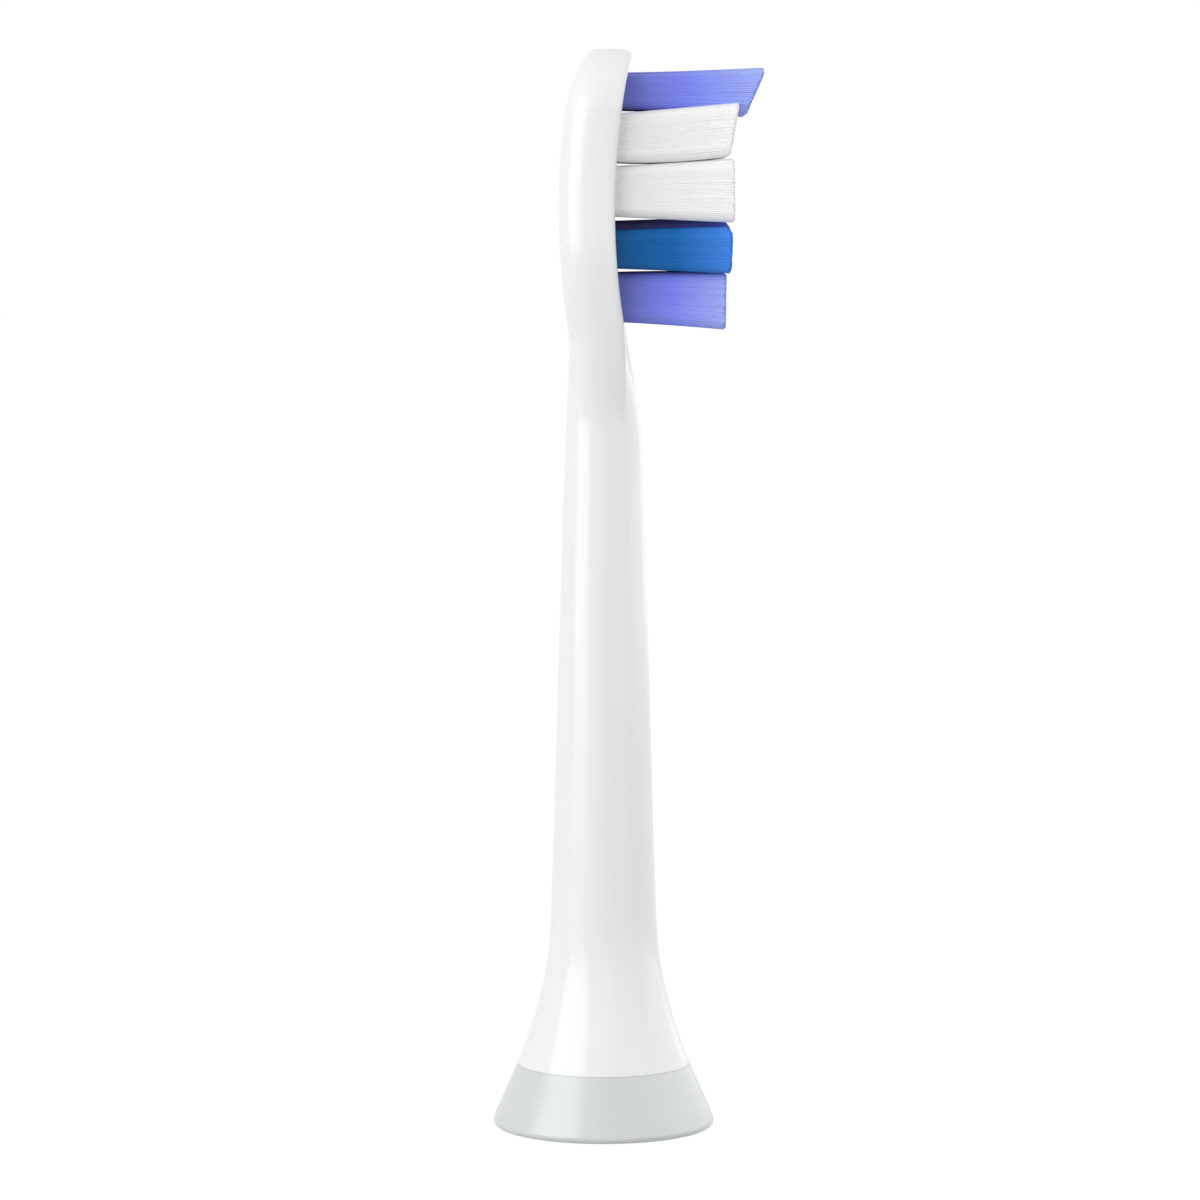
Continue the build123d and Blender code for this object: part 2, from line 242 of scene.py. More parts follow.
class Shade:
    """Shader node groups that the finishes share, each built once."""

    CLOUDS = {"Scale": 160.0, "Detail": 3.0}
    GRAIN = {"Scale": 5200.0, "Detail": 2.0}
    CLOUD_RANGE = {"From Min": 0.3, "From Max": 0.7}
    ROOT_HALF = {"From Min": 0.0, "From Max": 0.5}
    TIP_HALF = {"From Min": 0.5, "From Max": 1.0}
    STRAND_ROUGHNESS = {"To Min": 0.5, "To Max": 0.34}

    groups: dict[str, bpy.types.NodeTree] = {}

    @classmethod
    def new_group(
        cls, name: str, inputs: dict[str, tuple[str, object]], outputs: dict[str, str]
    ) -> bpy.types.NodeTree:
        """Make an empty group with named sockets.

        Args:
            name: Name of the group.
            inputs: Socket type and default of each input.
            outputs: Socket type of each output.

        Returns:
            The group, with its two end nodes.
        """
        tree = bpy.data.node_groups.new(name, "ShaderNodeTree")
        for label, (kind, default) in inputs.items():
            tree.interface.new_socket(label, in_out="INPUT", socket_type=kind).default_value = default
        for label, kind in outputs.items():
            tree.interface.new_socket(label, in_out="OUTPUT", socket_type=kind)
        tree.nodes.new("NodeGroupInput")
        tree.nodes.new("NodeGroupOutput")
        cls.groups[name] = tree
        return tree

    @classmethod
    def moulded(cls) -> bpy.types.NodeTree:
        """Return the group for a moulded surface: faint flow clouds, uneven gloss and fine grain.

        Returns:
            A group that puts out Colour, Roughness and Height.
        """
        if "moulded_surface" in cls.groups:
            return cls.groups["moulded_surface"]
        tree = cls.new_group(
            "moulded_surface",
            {
                "Colour": ("NodeSocketColor", (0.8, 0.8, 0.8, 1.0)),
                "Cloud Colour": ("NodeSocketColor", (0.7, 0.7, 0.7, 1.0)),
                "Smooth": ("NodeSocketFloat", 0.2),
                "Dull": ("NodeSocketFloat", 0.3),
            },
            {"Colour": "NodeSocketColor", "Roughness": "NodeSocketFloat", "Height": "NodeSocketFloat"},
        )
        given, result = tree.nodes["Group Input"].outputs, tree.nodes["Group Output"].inputs
        place = add_node(tree, "TexCoord")
        clouds = add_node(tree, "TexNoise", cls.CLOUDS)
        grain = add_node(tree, "TexNoise", cls.GRAIN)
        tint = add_colour_mix(tree)
        gloss = add_node(tree, "MapRange", cls.CLOUD_RANGE)
        connect(
            tree,
            (place.outputs["Object"], clouds.inputs["Vector"]),
            (place.outputs["Object"], grain.inputs["Vector"]),
            (clouds.outputs["Fac"], tint.inputs["Factor"]),
            (given["Colour"], tint.inputs["A"]),
            (given["Cloud Colour"], tint.inputs["B"]),
            (clouds.outputs["Fac"], gloss.inputs["Value"]),
            (given["Smooth"], gloss.inputs["To Min"]),
            (given["Dull"], gloss.inputs["To Max"]),
            (tint.outputs["Result"], result["Colour"]),
            (gloss.outputs["Result"], result["Roughness"]),
            (grain.outputs["Fac"], result["Height"]),
        )
        return tree

    @classmethod
    def filament(cls) -> bpy.types.NodeTree:
        """Return the group that paints shade at the filaments' roots and light at their tips, each filament
        a little different in tone.

        Returns:
            A group that puts out Colour and Roughness.
        """
        if "filament_tone_and_painted_light" in cls.groups:
            return cls.groups["filament_tone_and_painted_light"]
        tree = cls.new_group(
            "filament_tone_and_painted_light",
            {
                "Root": ("NodeSocketColor", (0.2, 0.2, 0.2, 1.0)),
                "Middle": ("NodeSocketColor", (0.5, 0.5, 0.5, 1.0)),
                "Tip": ("NodeSocketColor", (0.8, 0.8, 0.8, 1.0)),
                "Root Place": ("NodeSocketFloat", 0.001),
                "Tip Place": ("NodeSocketFloat", 0.01),
                "Spread": ("NodeSocketFloat", 0.1),
            },
            {"Colour": "NodeSocketColor", "Roughness": "NodeSocketFloat"},
        )
        given, result = tree.nodes["Group Input"].outputs, tree.nodes["Group Output"].inputs
        place = add_node(tree, "TexCoord")
        split = add_node(tree, "SeparateXYZ")
        # The colour runs from painted shade at the root to painted light at the tip.
        along = add_node(tree, "MapRange")
        root_half = add_node(tree, "MapRange", cls.ROOT_HALF)
        tip_half = add_node(tree, "MapRange", cls.TIP_HALF)
        lower, upper = add_colour_mix(tree), add_colour_mix(tree)
        strand = add_node(tree, "Attribute")
        strand.attribute_name = STRAND
        darkest = add_node(tree, "Math")
        darkest.operation = "SUBTRACT"
        darkest.inputs[0].default_value = 1.0
        level = add_node(tree, "MapRange", {"To Max": 1.0})
        shaded = add_node(tree, "VectorMath")
        shaded.operation = "SCALE"
        rough = add_node(tree, "MapRange", cls.STRAND_ROUGHNESS)
        connect(
            tree,
            (place.outputs["Object"], split.inputs["Vector"]),
            (split.outputs["X"], along.inputs["Value"]),
            (given["Root Place"], along.inputs["From Min"]),
            (given["Tip Place"], along.inputs["From Max"]),
            (along.outputs["Result"], root_half.inputs["Value"]),
            (along.outputs["Result"], tip_half.inputs["Value"]),
            (root_half.outputs["Result"], lower.inputs["Factor"]),
            (tip_half.outputs["Result"], upper.inputs["Factor"]),
            (given["Root"], lower.inputs["A"]),
            (given["Middle"], lower.inputs["B"]),
            (lower.outputs["Result"], upper.inputs["A"]),
            (given["Tip"], upper.inputs["B"]),
            (given["Spread"], darkest.inputs[1]),
            (strand.outputs["Fac"], level.inputs["Value"]),
            (darkest.outputs["Value"], level.inputs["To Min"]),
            (upper.outputs["Result"], shaded.inputs["Vector"]),
            (level.outputs["Result"], shaded.inputs["Scale"]),
            (strand.outputs["Fac"], rough.inputs["Value"]),
            (shaded.outputs["Vector"], result["Colour"]),
            (rough.outputs["Result"], result["Roughness"]),
        )
        return tree


def new_material(name: str) -> tuple[bpy.types.Material, bpy.types.Node]:
    """Make a material with one principled shader.

    Args:
        name: Name of the material.

    Returns:
        The material and its shader node.
    """
    material = bpy.data.materials.new(name)
    material.use_nodes = True
    return material, material.node_tree.nodes["Principled BSDF"]


def add_moulded_surface(
    shader: bpy.types.Node, colours: tuple[Colour, Colour], gloss: Point2
) -> bpy.types.Node:
    """Feed a shader's colour and roughness from the group for a moulded surface.

    Args:
        shader: The material's principled shader.
        colours: The main colour and that of the flow clouds.
        gloss: Roughness where the surface is smoothest and where it is dullest.

    Returns:
        The group's node.
    """
    tree = shader.id_data
    surface = add_node(tree, "Group")
    surface.node_tree = Shade.moulded()
    for label, colour in zip(("Colour", "Cloud Colour"), colours):
        surface.inputs[label].default_value = (*colour, 1.0)
    for label, roughness in zip(("Smooth", "Dull"), gloss):
        surface.inputs[label].default_value = roughness
    connect(
        tree,
        (surface.outputs["Colour"], shader.inputs["Base Color"]),
        (surface.outputs["Roughness"], shader.inputs["Roughness"]),
    )
    return surface


@dataclass(frozen=True)
class MouldedPlastic:
    """A moulded plastic, with its colours, the range of its gloss, its grain and its shine."""

    name: str
    colour: Colour
    cloud: Colour
    smooth: float
    dull: float
    grain: float = 0.03
    grain_depth: float = 0.02
    shine: float = 0.5

    def material(self) -> bpy.types.Material:
        """Make the plastic as a material.

        Returns:
            The material.
        """
        material, shader = new_material(self.name)
        tree = material.node_tree
        surface = add_moulded_surface(shader, (self.colour, self.cloud), (self.smooth, self.dull))
        bump = add_node(tree, "Bump", {"Strength": self.grain, "Distance": self.grain_depth * MM})
        connect(
            tree,
            (surface.outputs["Height"], bump.inputs["Height"]),
            (bump.outputs["Normal"], shader.inputs["Normal"]),
        )
        shader.inputs["Specular IOR Level"].default_value = self.shine
        return material


@dataclass(frozen=True)
class RolledMetal:
    """A thin rolled metal, with its colours and the range of its gloss."""

    name: str
    colour: Colour
    dark: Colour
    smooth: float
    dull: float

    def material(self) -> bpy.types.Material:
        """Make the metal as a material.

        Returns:
            The material.
        """
        material, shader = new_material(self.name)
        add_moulded_surface(shader, (self.colour, self.dark), (self.smooth, self.dull))
        shader.inputs["Metallic"].default_value = 1.0
        return material


@dataclass(frozen=True)
class Nylon:
    """A filament colour, with painted shade at its root and painted light at its tip."""

    name: str
    slot: str
    root: Colour
    middle: Colour
    tip: Colour
    spread: float
    shine: float = 0.25

    def material(self, name: str, root_place: float, tip_place: float) -> bpy.types.Material:
        """Make the filament colour, with its painted shade and painted light, as a material for bundles of
        one length.

        Args:
            name: Name of the material.
            root_place: X of the roots, in metres.
            tip_place: X of the tips, in metres.

        Returns:
            The material.
        """
        material, shader = new_material(name)
        colour = add_node(material.node_tree, "Group")
        colour.node_tree = Shade.filament()
        for label, value in (("Root", self.root), ("Middle", self.middle), ("Tip", self.tip)):
            colour.inputs[label].default_value = (*value, 1.0)
        colour.inputs["Root Place"].default_value = root_place
        colour.inputs["Tip Place"].default_value = tip_place
        colour.inputs["Spread"].default_value = self.spread
        connect(
            material.node_tree,
            (colour.outputs["Colour"], shader.inputs["Base Color"]),
            (colour.outputs["Roughness"], shader.inputs["Roughness"]),
        )
        shader.inputs["Specular IOR Level"].default_value = self.shine
        return material


WHITE_PLASTIC = MouldedPlastic(
    "white_gloss_plastic", (0.87, 0.87, 0.87), (0.85, 0.85, 0.852), smooth=0.15, dull=0.2
)
RING_PLASTIC = MouldedPlastic(
    "pale_ring_plastic",
    (0.63, 0.67, 0.66),
    (0.61, 0.65, 0.64),
    smooth=0.26,
    dull=0.34,
    grain=0.05,
    shine=0.95,
)
SOCKET_PLASTIC = MouldedPlastic(
    "socket_plastic", (0.62, 0.63, 0.64), (0.56, 0.57, 0.58), smooth=0.42, dull=0.55, grain=0.1
)
BOARD_LAMINATE = MouldedPlastic(
    "tag_laminate", (0.10, 0.26, 0.16), (0.07, 0.20, 0.12), smooth=0.4, dull=0.5, grain=0.1
)
CHIP_RESIN = MouldedPlastic(
    "tag_resin", (0.02, 0.02, 0.022), (0.03, 0.03, 0.032), smooth=0.4, dull=0.55, grain=0.1
)
SPRING_STEEL = RolledMetal(
    "spring_steel", (0.62, 0.62, 0.63), (0.52, 0.52, 0.54), smooth=0.22, dull=0.36
)
TAG_COPPER = RolledMetal(
    "tag_copper", (0.80, 0.42, 0.26), (0.68, 0.33, 0.20), smooth=0.25, dull=0.4
)
# Each nylon's root colour is darkened by painted shade and its tip colour lightened by painted light.
PURPLE = Nylon(
    "purple_nylon",
    "bristle_purple",
    root=(0.15, 0.175, 0.56),
    middle=(0.23, 0.28, 0.93),
    tip=(0.4, 0.49, 1.0),
    spread=0.06,
)
WHITE = Nylon(
    "white_nylon",
    "bristle_white",
    root=(0.84, 0.84, 0.84),
    middle=(0.92, 0.92, 0.92),
    tip=(0.99, 0.99, 0.99),
    spread=0.03,
)
BLUE = Nylon(
    "blue_nylon",
    "bristle_blue",
    root=(0.0, 0.095, 0.3),
    middle=(0.002, 0.14, 0.46),
    tip=(0.06, 0.28, 0.88),
    spread=0.08,
)
# A darker copy of the purple: painted shade for the inner bundles of the lower row, which sit in shade
# behind the blue ones.
PURPLE_PAINTED_SHADE = Nylon(
    "purple_painted_shade_nylon",
    "bristle_deep_purple",
    root=(0.09, 0.07, 0.24),
    middle=(0.1, 0.1, 0.42),
    tip=(0.15, 0.21, 0.8),
    spread=0.1,
)


@dataclass
class Section:
    """One four-sided section of the body, in millimetres."""

    back: float
    front: float
    half_width: float
    back_bow: float
    front_bow: float
    side_bow: float
    back_round: Point2
    front_round: Point2


@dataclass
class BrushBody:
    """The one moulded piece: head plate, neck, flare and hollow skirt, in millimetres."""

    total_length: float = 85.2
    seam_radius: float = 6.85
    seam_height: float = 5.1
    seam_edge: float = 0.03
    seam_bevel_share: float = 0.3
    flare_top_height: float = 19.5
    flare_top_radius: float = 4.0
    flare_blend: float = 0.3
    flare_taper: float = 0.06
    flare_overlap: float = 8.0
    round_foot_height: float = 2.5
    neck_top_height: float = 55.82
    neck_foot: Point2 = (4.06, 4.2)
    neck_top: Point2 = (2.95, 3.1)
    neck_barrel: float = 0.05
    neck_overrun: float = 1.25
    neck_foot_bows: tuple[float, float, float] = (1.5, 1.8, 0.8)
    neck_top_bows: tuple[float, float, float] = (0.8, 1.3, 0.6)
    neck_round: Point2 = (0.28, 0.28)
    neck_front_blend: float = 0.35
    neck_back_blend: float = 0.12
    side_skew: float = 0.3
    plate_bottom_height: float = 63.02
    plate_centre_height: float = 72.685
    plate_front_offset: float = 0.9
    plate_thickness: float = 4.46
    plate_front_curve: float = 56.0
    plate_back_curve: float = 60.0
    plate_half_width: float = 5.7
    plate_bows: tuple[float, float, float] = (0.25, 0.03, 0.15)
    plate_back_round: Point2 = (2.9, 2.2)
    plate_front_round: Point2 = (0.42, 0.42)
    plate_blend: Point2 = (0.5, 1.5)
    shoulder_lead: float = 0.8
    shoulder_end_height: float = 70.5
    tip_flat: float = 1.0
    tip_back_round: Point2 = (6.0, 1.65)
    tip_front_round: Point2 = (0.55, 1.5)

    # Inside of the neck and the skirt
    pocket_start_radius: float = 1.2
    pocket_radius: float = 2.93
    pocket_top_height: float = 25.03
    hollow_height: float = 12.4
    hollow_radius: float = 3.9
    hollow_edge: float = 0.1
    hollow_waist: Point2 = (4.77, 5.3)
    mouth_radius: float = 5.6
    foot_height: float = 1.6
    foot_radius: float = 7.27
    seat_radius: float = 5.84
    seat_edge: float = 0.05
    fine_edge: float = 0.02
    broken_edge: float = 0.08

    # How finely the shell is divided, and how far the zones of its rows overlap
    face_steps: int = 14
    corner_steps: int = 7
    flare_rows: int = 44
    neck_rows: int = 32
    shoulder_rows: int = 32
    plate_rows: int = 24
    tip_rows: int = 36
    zone_overlap: float = 2.0
    crown_rows: tuple[Point2, ...] = ((0.93, 0.012), (0.8, 0.0), (0.5, 0.0))
    longest_round: float = 0.9
    smooth_angle: float = 50.0

    @property
    def tip_arch(self) -> float:
        """Return the radius of the arch that ends the plate, seen from the front."""
        return self.plate_half_width - self.tip_flat / 2

    def neck_share(self, height: float) -> float:
        """Return how far up the neck a height lies, 0 at its foot and 1 at its top."""
        return (height - self.flare_top_height) / (self.neck_top_height - self.flare_top_height)

    def neck_half(self, axis: int, height: float) -> float:
        """Return half the neck's depth or width, a little barrelled.

        Args:
            axis: 0 for the depth, 1 for the width.
            height: Height of the section.

        Returns:
            Half the size.
        """
        share = min(self.neck_share(height), self.neck_overrun)
        barrel = self.neck_barrel * bulge(max(share, 0.0))
        return mix(self.neck_foot[axis], self.neck_top[axis], share) + barrel

    def tip_round(self, height: float, size: Point2) -> float:
        """Return how far an edge of the given height and depth has turned in near the tip."""
        rise = max(height - (self.total_length - size[0]), 0.0) / size[0]
        return size[1] * (1.0 - math.sqrt(max(1.0 - rise * rise, 0.0)))

    def flare_radius(self, height: float) -> float:
        """Return the flare's radius; above the flare it shrinks into the neck.

        Args:
            height: Height of the section.

        Returns:
            The radius.
        """
        drop = self.flare_top_height - self.seam_height
        spread = self.seam_radius - self.flare_top_radius
        curve = (drop * drop + spread * spread) / (2.0 * spread)
        if height > self.flare_top_height:
            return self.flare_top_radius - self.flare_taper * (height - self.flare_top_height)
        return self.flare_top_radius + sagitta(curve, self.flare_top_height - height)

    def plate_front(self, height: float) -> float:
        """Return X of the plate's hollow front, at a height on the plate."""
        return self.plate_front_offset + sagitta(self.plate_front_curve, height - self.plate_centre_height)

    def front(self, height: float) -> float:
        """Return X of the front, hollow along the plate and straight down to the neck.

        Args:
            height: Height of the section.

        Returns:
            X of the front's crown.
        """
        bottom = self.plate_bottom_height
        if height >= bottom:
            plate = self.plate_front(height)
        else:
            share = (bottom - height) / (bottom - self.neck_top_height)
            plate = mix(self.plate_front(bottom), self.neck_top[0], share)
        if height > self.plate_centre_height:
            return plate - self.tip_round(height, self.tip_front_round)
        return soft_min(self.neck_half(0, height), plate, self.neck_front_blend)

    def back(self, height: float) -> float:
        """Return X of the back, bowed along the plate and rounded over at the tip.

        Args:
            height: Height of the section.

        Returns:
            X of the back's crown.
        """
        crown = self.plate_front_offset - self.plate_thickness
        reach = max(height, self.neck_top_height) - self.plate_centre_height
        plate = crown + sagitta(self.plate_back_curve, reach)
        neck = self.neck_half(0, height) if height < self.plate_centre_height else 0.0
        back = -soft_max(neck, -plate, self.neck_back_blend)
        return back + self.tip_round(height, self.tip_back_round)

    def half_width(self, height: float) -> float:
        """Return half the width, from the neck over the shoulder to the arched tip.

        Args:
            height: Height of the section.

        Returns:
            Half the width.
        """
        arch = self.tip_arch
        rise = height - (self.total_length - arch)
        if rise > 0.0:
            return self.tip_flat / 2 + math.sqrt(max(arch * arch - rise * rise, 0.0))
        share = eased(self.neck_top_height - self.shoulder_lead, self.shoulder_end_height, height)
        return mix(self.neck_half(1, height), self.plate_half_width, share)

    def section(self, height: float) -> Section:
        """Return the four-sided section at a height.

        Args:
            height: Height of the section.

        Returns:
            The section.
        """
        below, above = self.plate_blend
        share = eased(self.neck_top_height - below, self.plate_bottom_height + above, height)
        climb = min(max(self.neck_share(height), 0.0), 1.0)
        bows = [
            mix(mix(foot, top, climb), plate, share)
            for foot, top, plate in zip(self.neck_foot_bows, self.neck_top_bows, self.plate_bows)
        ]
        rounds = [
            tuple(mix(neck, plate, share) for neck, plate in zip(self.neck_round, edge))
            for edge in (self.plate_back_round, self.plate_front_round)
        ]
        return Section(self.back(height), self.front(height), self.half_width(height), *bows, *rounds)

    def faces(self, shape: Section) -> list[tuple[np.ndarray, np.ndarray]]:
        """Return the four bowed faces of a section, each short of its corners.

        Args:
            shape: The section.

        Returns:
            Points along each face and the slopes there, as arrays of X and Y.
        """
        low, high = shape.back + shape.back_bow, shape.front - shape.front_bow
        edge = shape.half_width - shape.side_bow
        corners = np.array([(low, -edge), (high, -edge), (high, edge), (low, edge)])
        bows = np.array(
            [(0, -shape.side_bow), (shape.front_bow, 0), (0, shape.side_bow), (-shape.back_bow, 0)]
        )
        (back_x, back_y), (front_x, front_y) = shape.back_round, shape.front_round
        rounds = ((back_x, front_x), (front_y, front_y), (front_x, back_x), (back_y, back_y))
        skews = (self.side_skew, 0.0, -self.side_skew, 0.0)
        faces = []
        for side, (bow, skew) in enumerate(zip(bows, skews)):
            start, run = corners[side], corners[(side + 1) % 4] - corners[side]
            first, last = rounds[side]
            length = np.linalg.norm(run)
            squeeze = min(self.longest_round * length / (first + last), 1.0) / length
            share = np.linspace(first * squeeze, 1.0 - last * squeeze, self.face_steps + 1)[:, None]
            lean = 1.0 - 2.0 * share
            points = start + run * share + bow * bulge(share) * (1.0 + skew * lean)
            slopes = run + bow * (4.0 * lean * (1.0 + skew * lean) - 2.0 * skew * bulge(share))
            faces.append((points, slopes))
        return faces

    def outline(self, shape: Section) -> np.ndarray:
        """Return the closed outline of a section, with its four edges rounded.

        Args:
            shape: The section.

        Returns:
            Points in order, as an array of X and Y.
        """
        faces = self.faces(shape)
        share = np.linspace(0.0, 1.0, self.corner_steps + 1)[1:-1, None]
        outline = []
        for (points, slopes), (following, following_slopes) in zip(faces, faces[1:] + faces[:1]):
            start, end = points[-1], following[0]
            ahead, behind = slopes[-1], following_slopes[0]
            reach = np.linalg.solve(np.column_stack((ahead, behind)), end - start)[0]
            control = start + ahead * reach
            outline.append(points)
            outline.append((1 - share) ** 2 * start + 2 * share * (1 - share) * control + share**2 * end)
        return np.vstack(outline)

    def ring(self, height: float) -> np.ndarray:
        """Return the outer outline at a height, where the flare swallows the neck's edges.

        Args:
            height: Height of the outline.

        Returns:
            Points in order, as an array of X and Y.
        """
        outline = self.outline(self.section(height))
        if height > self.flare_top_height + self.flare_overlap:
            return outline
        flare = self.flare_radius(height)
        radii = np.linalg.norm(outline, axis=1)
        grown = np.array([soft_max(radius, flare, self.flare_blend) for radius in radii])
        rounded = eased(self.seam_height + self.round_foot_height, self.seam_height, height)
        grown = mix(grown, np.full_like(grown, flare), rounded)
        return outline * (grown / radii)[:, None]

    def inner_profile(self) -> list[Point2]:
        """Return the corners of the inside, from the end of the socket's pocket out to the seam.

        Returns:
            Radius and height of each corner, with the edges broken.
        """
        fine, broken = self.fine_edge, self.broken_edge
        return [
            (self.pocket_start_radius, self.pocket_top_height),
            (self.pocket_radius, self.pocket_top_height),
            (self.pocket_radius, self.hollow_height + fine),
            (self.pocket_radius + fine, self.hollow_height),
            (self.hollow_radius - fine, self.hollow_height),
            (self.hollow_radius + fine, self.hollow_height - self.hollow_edge),
            self.hollow_waist,
            (self.mouth_radius - fine, self.foot_height + broken),
            (self.mouth_radius + broken, self.foot_height),
            (self.foot_radius - broken, self.foot_height),
            (self.foot_radius - fine, self.foot_height + broken),
            (self.seat_radius + fine, self.seam_height - self.seat_edge),
            (self.seat_radius + self.seat_edge, self.seam_height),
        ]

    def heights(self) -> list[float]:
        """Return where the outer rows lie, closer together where the body bends.

        Returns:
            The heights, from the seam to the tip.
        """
        overlap, arch = self.zone_overlap, self.tip_arch
        zones = (
            (self.flare_top_height + overlap, self.flare_rows),
            (self.neck_top_height - overlap, self.neck_rows),
            (self.plate_bottom_height + overlap, self.shoulder_rows),
            (self.total_length - arch, self.plate_rows),
        )
        heights = [self.seam_height + self.seam_edge]
        for end, count in zones:
            heights += spaced(heights[-1], end, count)
        turns = spaced(0.0, math.pi / 2, self.tip_rows)
        return heights + [self.total_length - arch * (1.0 - math.sin(turn)) for turn in turns]

    def rows(self) -> list[tuple[np.ndarray, float]]:
        """Return every row of the shell, from inside the socket's pocket out to the tip.

        Returns:
            The outline and the height of each row, in millimetres.
        """
        seam = self.ring(self.seam_height)
        circle = seam / np.linalg.norm(seam, axis=1)[:, None]
        bevel = self.seam_bevel_share * self.seam_edge
        rows = [(circle * radius, height) for radius, height in self.inner_profile()]
        rows += [
            (circle * (self.seam_radius - self.seam_edge), self.seam_height),
            (circle * (self.seam_radius - bevel), self.seam_height + bevel),
        ]
        rows += [(self.ring(height), height) for height in self.heights()]
        crown, _ = rows[-1]
        middle = crown.mean(axis=0)
        rows += [(mix(middle, crown, share), self.total_length - drop) for share, drop in self.crown_rows]
        return rows

    def build(self) -> bpy.types.Object:
        """Model the shell: extrude a loop row by row, then bring each row to its outline.

        Returns:
            The closed shell.
        """
        rows = self.rows()
        count = len(rows[0][0])
        shell = new_outline("white_body", count)
        set_mode(Mode.EDIT)
        bpy.ops.mesh.select_all(action="SELECT")
        extrude_rows(len(rows) - 1)
        bpy.ops.mesh.edge_face_add()
        bpy.ops.mesh.select_all(action="DESELECT")
        set_mode(Mode.OBJECT)
        corners = shell.data.vertices
        for edge in shell.data.edges:
            edge.select = all(round(corners[end].co.z) == 0 for end in edge.vertices)
        set_mode(Mode.EDIT)
        bpy.ops.mesh.edge_face_add()
        set_mode(Mode.OBJECT)
        for corner in shell.data.vertices:
            column = round(math.atan2(corner.co.y, corner.co.x) / math.tau * count) % count
            outline, height = rows[round(corner.co.z)]
            x, y = outline[column]
            corner.co = (x * MM, y * MM, height * MM)
        finish_shell(shell, self.smooth_angle)
        return shell

    def dress(self, shell: bpy.types.Object) -> None:
        """Give the shell its plastic and let it stand for the CAD body.

        Args:
            shell: The shell.
        """
        shell.data.materials.append(WHITE_PLASTIC.material())
        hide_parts("brush_body")
        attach(shell, BODY)


@dataclass
class BaseRing:
    """The pale ring on the foot of the skirt, with the pocket for the tag, in millimetres."""

    body: BrushBody
    base_radius: float = 8.75
    lip_round: float = 0.42
    lip_height: float = 0.55
    lip_inset: float = 1.0
    lip_bevel: Point2 = (0.25, 0.03)
    lip_arc: Point2 = (-62.0, 20.0)
    lip_steps: int = 7
    wall_foot_share: float = 0.94
    wall_foot_height: float = 0.78
    wall_steps: int = 6
    rim_bevel_shares: Point2 = (0.35, 0.3)
    rim_inset_share: float = 1.2
    rim_drop: float = 0.02
    seat_radius: float = 5.9
    seat_edge: Point2 = (0.03, 0.08)
    pocket_radius: float = 7.32
    floor_height: float = 0.9
    floor_edge: float = 0.06
    mouth_edge: float = 0.05
    steps: int = 128
    smooth_angle: float = 40.0

    def profile(self) -> list[Point2]:
        """Return the corners of the ring, from its mouth round the outside and back by the pocket.

        Returns:
            Radius and height of each corner.
        """
        mouth, top = self.body.mouth_radius, self.body.seam_height
        rim, edge = self.body.seam_radius, self.body.seam_edge
        foot = self.base_radius - self.lip_inset
        lip = (self.base_radius - self.lip_round, self.lip_height)
        wall_foot = lip[0] + self.wall_foot_share * self.lip_round
        return [
            (mouth + self.mouth_edge, 0.0),
            (foot - self.lip_bevel[0], 0.0),
            (foot, self.lip_bevel[1]),
            *corner_arc(lip, self.lip_round, *self.lip_arc, self.lip_steps),
            *[
                (mix(wall_foot, rim, share), mix(self.wall_foot_height, top - edge, share))
                for share in spaced(0.0, 1.0, self.wall_steps)
            ],
            (rim - self.rim_bevel_shares[0] * edge, top - self.rim_bevel_shares[1] * edge),
            (rim - self.rim_inset_share * edge, top - self.rim_drop),
            (self.seat_radius + self.seat_edge[0], top - self.rim_drop),
            (self.seat_radius, top - self.seat_edge[1]),
            (self.pocket_radius, self.body.foot_height),
            (self.pocket_radius, self.floor_height),
            (mouth + self.floor_edge, self.floor_height),
            (mouth, self.floor_height - self.floor_edge),
            (mouth, self.mouth_edge),
        ]

    def build(self) -> bpy.types.Object:
        """Return the ring, turned from its profile."""
        return spun("pale_foot_ring", self.profile(), self.steps, self.smooth_angle)

    def dress(self, ring: bpy.types.Object) -> None:
        """Give the ring its plastic and let it stand for the CAD ring.

        Args:
            ring: The ring.
        """
        ring.data.materials.append(RING_PLASTIC.material())
        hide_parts("base_ring")
        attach(ring, BODY)


class InnerPieces:
    """The socket, its spring and the tag inside the skirt, shaped as the frame has them."""

    FINISHES: dict[str, MouldedPlastic | RolledMetal] = {
        "shaft_socket": SOCKET_PLASTIC,
        "retaining_spring": SPRING_STEEL,
        "tag_board": BOARD_LAMINATE,
        "tag_coil": TAG_COPPER,
        "tag_chip": CHIP_RESIN,
    }

    def dress(self, nodes: dict[str, bpy.types.Object]) -> None:
        """Give each inner CAD piece its finish.

        Args:
            nodes: The CAD nodes by name.
        """
        for name, finish in self.FINISHES.items():
            nodes[name].data.materials.clear()
            nodes[name].data.materials.append(finish.material())
            report(nodes[name])


class Row(Enum):
    """Rows of bundles, from the tip of the head down to its heel."""

    TIP = "tip"
    UPPER = "upper"
    MID = "mid"
    LOWER = "lower"
    HEEL = "heel"


@dataclass(frozen=True)
class RowShape:
    """How a row's bundles are trimmed and how they spread, in millimetres and degrees."""

    nylon: Nylon
    height: float
    reach: float
    slant: float
    top_lift: float
    bottom_lift: float
    curl: float
    round_top: float = 0.0
    round_bottom: float = 0.0
    swell: float = 0.0


